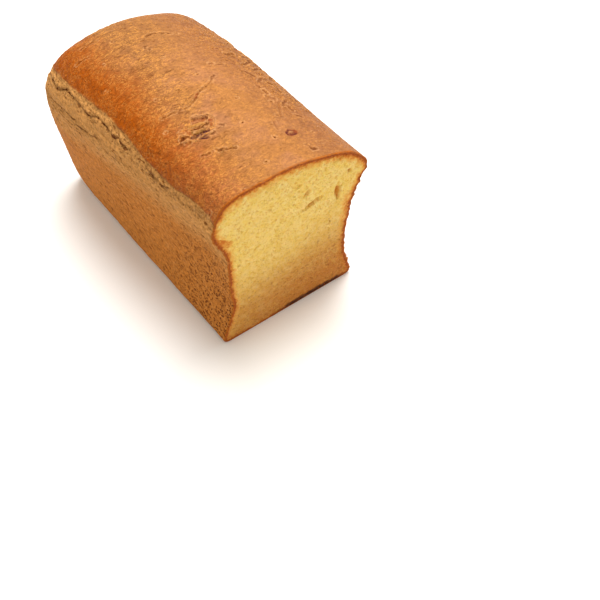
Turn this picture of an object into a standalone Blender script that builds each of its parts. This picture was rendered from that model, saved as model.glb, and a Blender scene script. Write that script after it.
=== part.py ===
"""Tin loaf with one end cut off, as one closed solid.

Metres, +Z up. The cut face looks along -Y, the heel is at +Y, and the loaf
rests on z = 0 with the origin at the bottom centre of its box.
"""
import bmesh
import bpy
from mathutils import Matrix, Vector

NAME = "tin_loaf"
MM = 0.001

# Driving dimensions
LENGTH = 188 * MM          # from the cut face to the heel, at the base
CUT_SKEW = 0.08            # the knife ran this far out of square, as a slope in y over x

COLUMNS = 6                # faces across the loaf
SUBDIVISIONS = 2

# Cross-sections at the cut and near the heel, in millimetres. Each side runs
# from the base up to the edge of the dome, as (half-width, height): the base
# corner, the waist, the foot of the break and the shoulder, which rose over
# the rim of the tin. The dome runs from left to right, as (place, height).
CUT_LEFT = ((50, 0), (52, 5), (39, 32), (39, 63), (38, 83), (42, 94), (47, 104), (45, 116))
CUT_RIGHT = ((47, 0), (47, 5), (39, 32), (41, 60), (45, 80), (49, 91), (56, 100), (44, 113))
CUT_DOME = ((-36, 127), (-19, 126), (0, 128), (18, 124), (37, 118))
HEEL_LEFT = ((51, 0), (53, 8), (54, 32), (56, 58), (57, 76), (57, 86), (57, 98), (52, 112))
HEEL_RIGHT = ((46, 0), (48, 8), (46, 32), (47, 58), (51, 78), (56, 88), (57, 97), (47, 108))
HEEL_DOME = ((-41, 124), (-21, 129), (0, 129), (18, 124), (36, 116))
# How the heel rounds over, level by level of the sides: how far it stands
# back and comes down, in millimetres, and the share by which it narrows.
HEEL_SET_BACK = (3, 0, 1, 2, 3, 5, 8, 13)
HEEL_DROP = (0, 0, 0, 0, 1, 2, 3, 6)
HEEL_NARROWING = (0.04, 0.04, 0.04, 0.05, 0.07, 0.10, 0.13, 0.17)
# Where the rows stand along the loaf, as shares of its length, how far each
# has gone from the section at the cut to that near the heel, by what share
# its dome and shoulders swell, and how far it has rounded over into the heel.
ROW_PLACES = (0.0, 0.12, 0.28, 0.44, 0.60, 0.73, 0.835, 0.915, 0.965, 1.0)
ROW_BLENDS = (0.0, 0.10, 0.30, 0.55, 0.75, 0.90, 1.0, 1.0, 1.0, 1.0)
ROW_SWELLS = (0.0, -0.01, 0.0, 0.02, 0.03, 0.02, 0.0, 0.0, 0.0, 0.0)
ROW_ENDS = (0.0, 0.0, 0.0, 0.0, 0.0, 0.0, 0.06, 0.22, 0.54, 1.0)
SHOULDER_LEVEL = 5         # the first level of the sides that swells
BASE_ROW = 0.88            # place of the bottom's outer columns, as a share of the half-width

CRUST_COLOUR = (0.52, 0.22, 0.07, 1.0)
CRUST_ROUGHNESS = 0.6


def clear_scene():
    """Remove the objects that are in the scene already."""
    for old in list(bpy.data.objects):
        bpy.data.objects.remove(old)


def gridded_box(columns, rows, levels):
    """A box from (0, 0, 0) to (1, 1, 1) whose faces are divided into a grid."""
    cage = bmesh.new()
    bmesh.ops.create_cube(cage, size=1.0, matrix=Matrix.Translation((0.5, 0.5, 0.5)))
    for axis, count in enumerate((columns, rows, levels)):
        along = [
            edge
            for edge in cage.edges
            if abs(edge.verts[1].co[axis] - edge.verts[0].co[axis]) > 0.5
        ]
        bmesh.ops.subdivide_edges(cage, edges=along, cuts=count - 1, use_grid_fill=True)
    return cage


def side_point(left, right, column, level):
    """Place across and height of a cage point on a side, an end or the bottom."""
    share = column / COLUMNS
    across = 2 * share - 1
    if level == 0 and column in (1, COLUMNS - 1):
        across = BASE_ROW if across > 0 else -BASE_ROW
    half_width = right[level][0] if across > 0 else left[level][0]
    height = left[level][1] * (1 - share) + right[level][1] * share
    return Vector((across * half_width, height))


def row_point(column, row, level):
    """Place of a cage point, in millimetres, from its place in the grid."""
    cut = side_point(CUT_LEFT, CUT_RIGHT, column, level)
    heel = side_point(HEEL_LEFT, HEEL_RIGHT, column, level)
    x, z = cut.lerp(heel, ROW_BLENDS[row])
    end = ROW_ENDS[row]
    z -= end * HEEL_DROP[level]
    if level == len(CUT_LEFT) - 1 and 0 < column < COLUMNS:
        crown = Vector(CUT_DOME[column - 1]).lerp(Vector(HEEL_DOME[column - 1]), ROW_BLENDS[row])
        x, z = crown.x, crown.y * (1 - end) + z * end
    x *= 1 - end * HEEL_NARROWING[level]
    if level >= SHOULDER_LEVEL:
        x *= 1 + ROW_SWELLS[row]
    y = ROW_PLACES[row] * (LENGTH / MM - HEEL_SET_BACK[level])
    if row == 0:
        y -= CUT_SKEW * x
    return Vector((x, y, z))


def place_cage(cage):
    """Move the points of the gridded box to the loaf's shape."""
    counts = (COLUMNS, len(ROW_PLACES) - 1, len(CUT_LEFT) - 1)
    for point in cage.verts:
        column, row, level = (round(share * count) for share, count in zip(point.co, counts))
        point.co = row_point(column, row, level) * MM


def crease_cut(cage):
    """Keep the edge of the cut face sharp through the subdivision."""
    crease = cage.edges.layers.float.new("crease_edge")
    for edge in cage.edges:
        fronts = [face.normal.y < -0.9 for face in edge.link_faces]
        if fronts.count(True) == 1:
            edge[crease] = 1.0


def make_loaf():
    """Build the loaf's object from its cage."""
    cage = gridded_box(COLUMNS, len(ROW_PLACES) - 1, len(CUT_LEFT) - 1)
    crease_cut(cage)
    place_cage(cage)
    mesh = bpy.data.meshes.new(NAME)
    cage.to_mesh(mesh)
    cage.free()
    mesh.shade_smooth()
    loaf = bpy.data.objects.new(NAME, mesh)
    smooth = loaf.modifiers.new("Smooth", "SUBSURF")
    smooth.levels = SUBDIVISIONS
    smooth.render_levels = SUBDIVISIONS
    return loaf


def stand_on_origin(loaf):
    """Put the bottom centre of the finished loaf's box at the origin."""
    bpy.context.view_layer.update()
    finished = loaf.evaluated_get(bpy.context.evaluated_depsgraph_get())
    skin = finished.to_mesh()
    xs, ys, zs = zip(*(point.co for point in skin.vertices))
    loaf.location = -(min(xs) + max(xs)) / 2, -(min(ys) + max(ys)) / 2, -min(zs)
    finished.to_mesh_clear()


def crust_material():
    """Baked crust: warm brown and nearly matt."""
    material = bpy.data.materials.new("crust")
    material.use_nodes = True
    shader = material.node_tree.nodes["Principled BSDF"]
    shader.inputs["Base Color"].default_value = CRUST_COLOUR
    shader.inputs["Roughness"].default_value = CRUST_ROUGHNESS
    shader.inputs["Metallic"].default_value = 0.0
    return material


def main():
    """Make the loaf in a collection of its own."""
    clear_scene()
    loaf = make_loaf()
    loaf.data.materials.append(crust_material())
    pieces = bpy.data.collections.new(NAME)
    bpy.context.scene.collection.children.link(pieces)
    pieces.objects.link(loaf)
    stand_on_origin(loaf)


main()
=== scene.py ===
"""Tin loaf with one end cut off: its crust, its crumb, and the studio it stands in.

The loaf is shaped in millimetres, in its own space: x across, y from the cut
to the heel, z up from the base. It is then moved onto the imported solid.
"""

import logging
import math
from collections.abc import Callable, Iterator
from contextlib import contextmanager
from dataclasses import dataclass, field
from enum import Enum
from itertools import product

import bmesh
import bpy
import numpy as np
from mathutils import Matrix, Vector

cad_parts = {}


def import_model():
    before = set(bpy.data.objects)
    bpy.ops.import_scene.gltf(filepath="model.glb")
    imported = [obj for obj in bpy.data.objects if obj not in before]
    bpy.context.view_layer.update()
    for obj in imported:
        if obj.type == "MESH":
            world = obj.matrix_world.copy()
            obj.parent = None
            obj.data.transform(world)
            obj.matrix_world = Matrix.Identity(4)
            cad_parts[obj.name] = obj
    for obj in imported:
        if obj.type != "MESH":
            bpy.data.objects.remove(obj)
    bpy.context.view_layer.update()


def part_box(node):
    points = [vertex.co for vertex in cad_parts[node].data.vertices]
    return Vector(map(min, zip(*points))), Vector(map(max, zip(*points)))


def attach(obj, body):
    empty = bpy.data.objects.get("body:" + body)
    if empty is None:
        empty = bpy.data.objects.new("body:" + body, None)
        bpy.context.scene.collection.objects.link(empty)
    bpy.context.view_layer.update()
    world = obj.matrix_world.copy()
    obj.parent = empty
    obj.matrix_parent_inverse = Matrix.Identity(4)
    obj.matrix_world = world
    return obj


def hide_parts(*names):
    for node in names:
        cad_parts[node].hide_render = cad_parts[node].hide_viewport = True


NODE = "tin_loaf"
BODY = "root"
MM = 0.001

Colour = tuple[float, float, float]
Pair = tuple[float, float]

log = logging.getLogger("tin_loaf")


# ---------------------------------------------------------------- modelling


class Pick(Enum):
    """What edit mode selects."""

    VERTICES = "VERT"
    EDGES = "EDGE"
    FACES = "FACE"


def only(piece: bpy.types.Object) -> None:
    """Selects this piece alone and makes it the active one.

    Args:
        piece: the object that the next operators work on.
    """
    bpy.ops.object.select_all(action="DESELECT")
    piece.select_set(True)
    bpy.context.view_layer.objects.active = piece


@contextmanager
def editing(piece: bpy.types.Object, pick: Pick = Pick.FACES) -> Iterator[None]:
    """Opens a piece in edit mode with nothing selected, and closes it after.

    Args:
        piece: the object to edit.
        pick: what its selection is made of.
    """
    only(piece)
    bpy.ops.object.mode_set(mode="EDIT")
    bpy.ops.mesh.select_mode(type=pick.value)
    bpy.ops.mesh.select_all(action="DESELECT")
    yield
    bpy.ops.object.mode_set(mode="OBJECT")


def choose(piece: bpy.types.Object, pick: Pick, wanted: Callable[..., bool]) -> int:
    """Selects what a test picks out of a piece that is in edit mode.

    Args:
        piece: the object being edited.
        pick: whether the test is given vertices, edges or faces.
        wanted: the test.

    Returns:
        How many elements are now selected.
    """
    mesh = bmesh.from_edit_mesh(piece.data)
    mesh.normal_update()
    elements = {Pick.VERTICES: mesh.verts, Pick.EDGES: mesh.edges, Pick.FACES: mesh.faces}[pick]
    found = [element for element in elements if wanted(element)]
    for element in found:
        element.select_set(True)
    mesh.select_flush_mode()
    bmesh.update_edit_mesh(piece.data)
    return len(found)


def smoothed(piece: bpy.types.Object, levels: int) -> None:
    """Applies a Subdivision Surface to a piece.

    Args:
        piece: the object to divide.
        levels: how many times its faces are divided.
    """
    only(piece)
    modifier = piece.modifiers.new("rise", "SUBSURF")
    modifier.levels = levels
    modifier.render_levels = levels
    bpy.ops.object.modifier_apply(modifier=modifier.name)


def points_of(piece: bpy.types.Object) -> np.ndarray:
    """The piece's vertices, one a row, in millimetres of its own space."""
    flat = np.empty(len(piece.data.vertices) * 3, np.float32)
    piece.data.vertices.foreach_get("co", flat)
    return flat.reshape(-1, 3).astype(float) / MM


def normals_of(piece: bpy.types.Object) -> np.ndarray:
    """The piece's vertex normals, one a row."""
    flat = np.empty(len(piece.data.vertices) * 3, np.float32)
    piece.data.vertices.foreach_get("normal", flat)
    return flat.reshape(-1, 3).astype(float)


def set_points(piece: bpy.types.Object, points: np.ndarray) -> None:
    """Moves the piece's vertices to these points, in millimetres."""
    piece.data.vertices.foreach_set("co", (points * MM).astype(np.float32).ravel())
    piece.data.update()


def keep_mask(piece: bpy.types.Object, name: str, values: np.ndarray) -> None:
    """Stores one number a vertex on the piece, for its material to read.

    Args:
        piece: the object.
        name: the attribute's name.
        values: the numbers, in vertex order.
    """
    mask = piece.data.attributes.new(name, "FLOAT", "POINT")
    mask.data.foreach_set("value", values.astype(np.float32))


def open_loop(piece: bpy.types.Object) -> list[int]:
    """The vertices round a mesh's one open edge, in order.

    Args:
        piece: an object in object mode, open along a single loop.

    Returns:
        Vertex indices, each next to the one before.
    """
    shell = bmesh.new()
    shell.from_mesh(piece.data)
    beside: dict[int, list[int]] = {}
    for edge in shell.edges:
        if edge.is_boundary:
            first, last = (vertex.index for vertex in edge.verts)
            beside.setdefault(first, []).append(last)
            beside.setdefault(last, []).append(first)
    shell.free()
    start = min(beside)
    loop = [start, beside[start][0]]
    while len(loop) < len(beside):
        before, here = loop[-2:]
        loop.append(next(place for place in beside[here] if place != before))
    return loop


def fade(low: float, high: float, values: np.ndarray) -> np.ndarray:
    """Rises smoothly from 0 at low to 1 at high, or falls where low is above high."""
    share = np.clip((values - low) / (high - low), 0, 1)
    return share * share * (3 - 2 * share)


def blended(first: np.ndarray, second: np.ndarray, share: np.ndarray) -> np.ndarray:
    """Goes from the first values to the second as share goes from 0 to 1."""
    return first + (second - first) * share


# ---------------------------------------------------------------- the grain of bread


@dataclass(frozen=True)
class Grain:
    """Repeatable irregularity over points in millimetres.

    Attributes:
        seed: every number drawn depends on it.
    """

    seed: int = 7

    def dice(self, cells: np.ndarray, salt: int) -> np.ndarray:
        """Even numbers from 0 to 1, one for each row of whole numbers.

        Args:
            cells: rows of three whole numbers.
            salt: sets one drawing apart from another.

        Returns:
            The numbers, which depend on nothing but the rows, the salt and the seed.
        """
        primes = np.array([73856093, 19349663, 83492791], np.uint32)
        words = cells.astype(np.int64).astype(np.uint32) * primes
        mixed = words[..., 0] ^ words[..., 1] ^ words[..., 2]
        mixed ^= np.uint32((self.seed * 9781 + salt * 6271 + 1) * 2654435761 & 0xFFFFFFFF)
        for shift, factor in ((15, 2246822519), (13, 3266489917)):
            mixed = (mixed ^ (mixed >> np.uint32(shift))) * np.uint32(factor)
        return (mixed ^ (mixed >> np.uint32(16))) / 4294967296

    def swell(self, points: np.ndarray, size: float | tuple[float, ...], salt: int) -> np.ndarray:
        """Smooth rises and hollows from -1 to 1.

        Args:
            points: rows of three millimetres.
            size: how far apart they are, the same or its own each way.
            salt: sets one pattern apart from another.

        Returns:
            The height of each point.
        """
        place = points / np.array(size)
        base = np.floor(place)
        part = place - base
        part = part * part * (3 - 2 * part)
        total = np.zeros(len(points))
        for corner in product((0, 1), repeat=3):
            weight = np.where(np.array(corner), part, 1 - part).prod(axis=1)
            total += weight * self.dice(base + np.array(corner), salt)
        return 2 * total - 1

    def layered(
        self, points: np.ndarray, size: float | tuple[float, ...], salt: int, layers: int = 3
    ) -> np.ndarray:
        """Swells on swells, each layer half as large as the one before.

        Args:
            points: rows of three millimetres.
            size: the size of the largest layer.
            salt: sets one pattern apart from another.
            layers: how many layers are added.

        Returns:
            The height of each point, about -1 to 1.
        """
        total = np.zeros(len(points))
        for layer in range(layers):
            turned = points @ np.array(Matrix.Rotation(0.7 * layer, 3, (1, 2, 3)).transposed())
            source = turned if np.ndim(size) == 0 else points
            total += self.swell(source, np.array(size) / 2**layer, salt + 31 * layer) / 2**layer
        return total / 1.6

    def cells(self, points: np.ndarray, size: float | tuple[float, ...], salt: int) -> tuple[np.ndarray, ...]:
        """Irregular cells, as of a foam.

        Args:
            points: rows of three millimetres.
            size: how far apart the cells are.
            salt: sets one pattern apart from another.

        Returns:
            For each point the distance to the nearest cell's middle, the
            distance to the next nearest, both as shares of the size, and the
            nearest cell's own number from 0 to 1.
        """
        place = points / np.array(size)
        base = np.floor(place)
        nearest = np.full(len(points), 9.0)
        following = np.full(len(points), 9.0)
        number = np.zeros(len(points))
        for step in product((-1, 0, 1), repeat=3):
            cell = base + np.array(step)
            middle = cell + np.stack([self.dice(cell, salt + way) for way in (1, 2, 3)], axis=1)
            gap = np.linalg.norm(place - middle, axis=1)
            closer = gap < nearest
            following = np.where(closer, nearest, np.minimum(following, gap))
            number = np.where(closer, self.dice(cell, salt + 4), number)
            nearest = np.minimum(nearest, gap)
        return nearest, following, number


# ---------------------------------------------------------------- the loaf's form


@dataclass(frozen=True)
class Section:
    """A cross-section in millimetres.

    Attributes:
        left: from the base up to the dome's edge, as (half-width, height).
        right: the same for the right side.
        dome: from left to right, as (place, height).
    """

    left: tuple[Pair, ...]
    right: tuple[Pair, ...]
    dome: tuple[Pair, ...]


@dataclass(frozen=True)
class LoafForm:
    """The smooth form of the cut loaf, from which crust and crumb are made.

    Attributes:
        length: from the cut to the heel, at the base.
        cut_skew: how far the knife ran out of square, as a slope in y over x.
        cut: the section at the cut.
        heel: the section near the heel.
        heel_set_back: how far each level of the heel stands back.
        heel_drop: how far each level of the heel comes down.
        heel_narrowing: the share by which each level of the heel narrows.
        row_places: where the rows stand, as shares of the length.
        row_blends: how far each row has gone from the cut's section to the heel's.
        row_swells: by what share the dome and shoulders of each row swell.
        row_ends: how far each row has rounded over into the heel.
        shoulder_level: the first level of the sides that swells.
        base_row: place of the bottom's outer columns, as a share of the half-width.
    """

    length: float = 188
    cut_skew: float = 0.08
    cut: Section = Section(
        left=((50, 0), (52, 5), (39, 32), (39, 63), (38, 83), (42, 94), (47, 104), (45, 116)),
        right=((47, 0), (47, 5), (39, 32), (41, 60), (45, 80), (49, 91), (56, 100), (44, 113)),
        dome=((-36, 127), (-19, 126), (0, 128), (18, 124), (37, 118)),
    )
    heel: Section = Section(
        left=((51, 0), (53, 8), (54, 32), (56, 58), (57, 76), (57, 86), (57, 98), (52, 112)),
        right=((46, 0), (48, 8), (46, 32), (47, 58), (51, 78), (56, 88), (57, 97), (47, 108)),
        dome=((-41, 124), (-21, 129), (0, 129), (18, 124), (36, 116)),
    )
    heel_set_back: tuple[float, ...] = (3, 0, 1, 2, 3, 5, 8, 13)
    heel_drop: tuple[float, ...] = (0, 0, 0, 0, 1, 2, 3, 6)
    heel_narrowing: tuple[float, ...] = (0.04, 0.04, 0.04, 0.05, 0.07, 0.10, 0.13, 0.17)
    row_places: tuple[float, ...] = (0.0, 0.12, 0.28, 0.44, 0.60, 0.73, 0.835, 0.915, 0.965, 1.0)
    row_blends: tuple[float, ...] = (0.0, 0.10, 0.30, 0.55, 0.75, 0.90, 1.0, 1.0, 1.0, 1.0)
    row_swells: tuple[float, ...] = (0.0, -0.01, 0.0, 0.02, 0.03, 0.02, 0.0, 0.0, 0.0, 0.0)
    row_ends: tuple[float, ...] = (0.0, 0.0, 0.0, 0.0, 0.0, 0.0, 0.06, 0.22, 0.54, 1.0)
    shoulder_level: int = 5
    base_row: float = 0.88

    @property
    def counts(self) -> tuple[int, int, int]:
        """How many faces the cage has across, along and up."""
        return len(self.cut.dome) + 1, len(self.row_places) - 1, len(self.cut.left) - 1

    def side_point(self, section: Section, column: int, level: int) -> Vector:
        """Where a cage point of a side, an end or the bottom lies in a section.

        Args:
            section: the section.
            column: the point's column, from left to right.
            level: the point's level, from the base up.

        Returns:
            Its place across and its height.
        """
        columns = self.counts[0]
        share = column / columns
        across = 2 * share - 1
        if level == 0 and column in (1, columns - 1):
            across = math.copysign(self.base_row, across)
        side = section.right if across > 0 else section.left
        height = section.left[level][1] * (1 - share) + section.right[level][1] * share
        return Vector((across * side[level][0], height))

    def cage_point(self, column: int, row: int, level: int) -> Vector:
        """Where a point of the cage lies.

        Args:
            column: its column, from left to right.
            row: its row, from the cut to the heel.
            level: its level, from the base up.

        Returns:
            The place in millimetres.
        """
        columns, _, levels = self.counts
        blend, end = self.row_blends[row], self.row_ends[row]
        cut = self.side_point(self.cut, column, level)
        x, z = cut.lerp(self.side_point(self.heel, column, level), blend)
        z -= end * self.heel_drop[level]
        if level == levels and 0 < column < columns:
            crown = Vector(self.cut.dome[column - 1]).lerp(Vector(self.heel.dome[column - 1]), blend)
            x, z = crown.x, crown.y * (1 - end) + z * end
        x *= 1 - end * self.heel_narrowing[level]
        if level >= self.shoulder_level:
            x *= 1 + self.row_swells[row]
        y = self.row_places[row] * (self.length - self.heel_set_back[level])
        if row == 0:
            y -= self.cut_skew * x
        return Vector((x, y, z))

    def cage(self, name: str) -> bpy.types.Object:
        """A cube cut into a grid and set to the loaf's sections, creased round the cut.

        Args:
            name: the new object's name.

        Returns:
            The cage, closed, with its place in its mesh.
        """
        bpy.ops.object.select_all(action="DESELECT")
        bpy.ops.mesh.primitive_cube_add(size=1.0, location=(0.5, 0.5, 0.5))
        cage = bpy.context.object
        cage.name = cage.data.name = name
        bpy.ops.object.transform_apply(location=True, rotation=True, scale=True)
        with editing(cage):
            for axis, count in enumerate(self.counts):
                across = [float(way == axis) for way in range(3)]
                for step in range(1, count):
                    bpy.ops.mesh.select_all(action="SELECT")
                    place = [step / count if way == axis else 0.5 for way in range(3)]
                    bpy.ops.mesh.bisect(plane_co=place, plane_no=across)
            bpy.ops.mesh.select_all(action="SELECT")
            bpy.ops.mesh.normals_make_consistent(inside=False)
        with editing(cage, Pick.EDGES):
            choose(cage, Pick.EDGES, lambda edge: self.borders_cut(edge))
            bpy.ops.transform.edge_crease(value=1.0)
        for vertex in cage.data.vertices:
            grid = (round(share * count) for share, count in zip(vertex.co, self.counts))
            vertex.co = self.cage_point(*grid) * MM
        return cage

    @staticmethod
    def borders_cut(edge: bmesh.types.BMEdge) -> bool:
        """Whether an edge of the unit grid lies between the cut and a side."""
        return len([face for face in edge.link_faces if face.normal.y < -0.9]) == 1

    def shell(self, name: str, levels: int) -> bpy.types.Object:
        """The smooth loaf, open at the cut.

        Args:
            name: the new object's name.
            levels: how many times the cage is divided.

        Returns:
            The shell.
        """
        shell = self.cage(name)
        smoothed(shell, levels)
        with editing(shell):
            choose(shell, Pick.FACES, lambda face: face.normal.y < -0.9 and self.on_cut(face))
            bpy.ops.mesh.delete(type="FACE")
        return shell

    def on_cut(self, face: bmesh.types.BMFace) -> bool:
        """Whether a face lies in the plane of the knife."""
        place = face.calc_center_median() / MM
        return abs(place.y + self.cut_skew * place.x) < 0.5

    def cut_y(self, across: np.ndarray) -> np.ndarray:
        """Where along the loaf the plane of the knife lies, at a place across it."""
        return -self.cut_skew * across

    def inner_wall(self, name: str, thickness: float) -> bpy.types.Object:
        """A coarse shell inside the loaf, open at its front and set back from the cut.

        Args:
            name: the new object's name.
            thickness: how far it lies inside the loaf's surface.

        Returns:
            The shell, whose faces look outwards.
        """
        wall = self.shell(name, 1)
        with editing(wall):
            bpy.ops.mesh.select_all(action="SELECT")
            bpy.ops.transform.shrink_fatten(value=-thickness * MM)
        points = points_of(wall)
        loop = open_loop(wall)
        points[loop, 1] = self.cut_y(points[loop, 0]) + 1.5 * thickness
        set_points(wall, points)
        return wall


def offset_inwards(loop: np.ndarray, distance: float) -> np.ndarray:
    """Moves a closed ring of points towards its inside, across and up only.

    Args:
        loop: the ring's points, in order.
        distance: how far to move them.

    Returns:
        The moved points.
    """
    ahead = np.roll(loop, -2, axis=0) - np.roll(loop, 2, axis=0)
    inward = np.stack([-ahead[:, 2], np.zeros(len(loop)), ahead[:, 0]], axis=1)
    inward /= np.linalg.norm(inward, axis=1)[:, None]
    area = np.sum(loop[:, 0] * np.roll(loop[:, 2], -1) - np.roll(loop[:, 0], -1) * loop[:, 2])
    return loop + inward * distance * np.sign(area)


def eased(loop: np.ndarray, passes: int) -> np.ndarray:
    """Smooths a closed ring of points.

    Args:
        loop: the ring's points, in order.
        passes: how many times each point goes to the mean of its neighbours.

    Returns:
        The smoothed points.
    """
    for _ in range(passes):
        loop = (np.roll(loop, 1, axis=0) + loop + np.roll(loop, -1, axis=0)) / 3
    return loop


def extend_loop(piece: bpy.types.Object, targets: dict[int, np.ndarray]) -> None:
    """Extrudes a piece's open edge by one ring of faces.

    Args:
        piece: an object in object mode, open along a single loop.
        targets: for each vertex of that loop, where its copy goes, in millimetres.
    """
    with editing(piece, Pick.EDGES):
        choose(piece, Pick.EDGES, lambda edge: edge.is_boundary)
        bpy.ops.mesh.extrude_region_move(TRANSFORM_OT_translate={"value": (0, 0, 0)})
        mesh = bmesh.from_edit_mesh(piece.data)
        for vertex in [vertex for vertex in mesh.verts if vertex.select]:
            source = next(
                edge.other_vert(vertex)
                for edge in vertex.link_edges
                if not edge.other_vert(vertex).select
            )
            vertex.co = Vector(targets[source.index]) * MM
        bmesh.update_edit_mesh(piece.data)


def close_with(piece: bpy.types.Object, wall: bpy.types.Object) -> None:
    """Joins an inner wall to a piece and bridges their two open edges.

    Args:
        piece: the piece that is kept.
        wall: the wall, which becomes part of it.
    """
    only(piece)
    wall.select_set(True)
    bpy.ops.object.join()
    with editing(piece, Pick.EDGES):
        choose(piece, Pick.EDGES, lambda edge: edge.is_boundary)
        bpy.ops.mesh.bridge_edge_loops()
        bpy.ops.mesh.select_all(action="SELECT")
        bpy.ops.mesh.normals_make_consistent(inside=False)


# ---------------------------------------------------------------- crust


class Tone(Enum):
    """What a mark in the dome takes its colour from."""

    # painted shade in cracks, creases, pits and pinholes
    CREVICE_SHADE = "scorch"
    BURNT = "burnt"
    EMBER = "ember"
    GOLDEN = "golden"
    PALE = "pale"
    KHAKI = "khaki"


@dataclass(frozen=True)
class Crease:
    """A crack, wrinkle or lifted flake in the dome.

    Attributes:
        path: its points as (across, along), in millimetres.
        width: half its width.
        depth: how deep it is, below zero where it stands out.
        lip: how high its edges stand.
        dark: how strong its colour is, up to 1.
        tone: its colour.
    """

    path: tuple[Pair, ...]
    width: float = 0.45
    depth: float = 0.45
    lip: float = 0.22
    dark: float = 0.75
    tone: Tone = Tone.CREVICE_SHADE

    def distance(self, points: np.ndarray) -> np.ndarray:
        """How far each point lies from the path, seen from above.

        Args:
            points: rows of three millimetres.

        Returns:
            The distances.
        """
        nearest = np.full(len(points), 1e9)
        plan = points[:, :2]
        for first, last in zip(self.path, self.path[1:]):
            start, step = np.array(first), np.array(last) - np.array(first)
            share = np.clip((plan - start) @ step / (step @ step), 0, 1)
            gap = np.linalg.norm(plan - start - share[:, None] * step, axis=1)
            nearest = np.minimum(nearest, gap)
        return nearest


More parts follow.
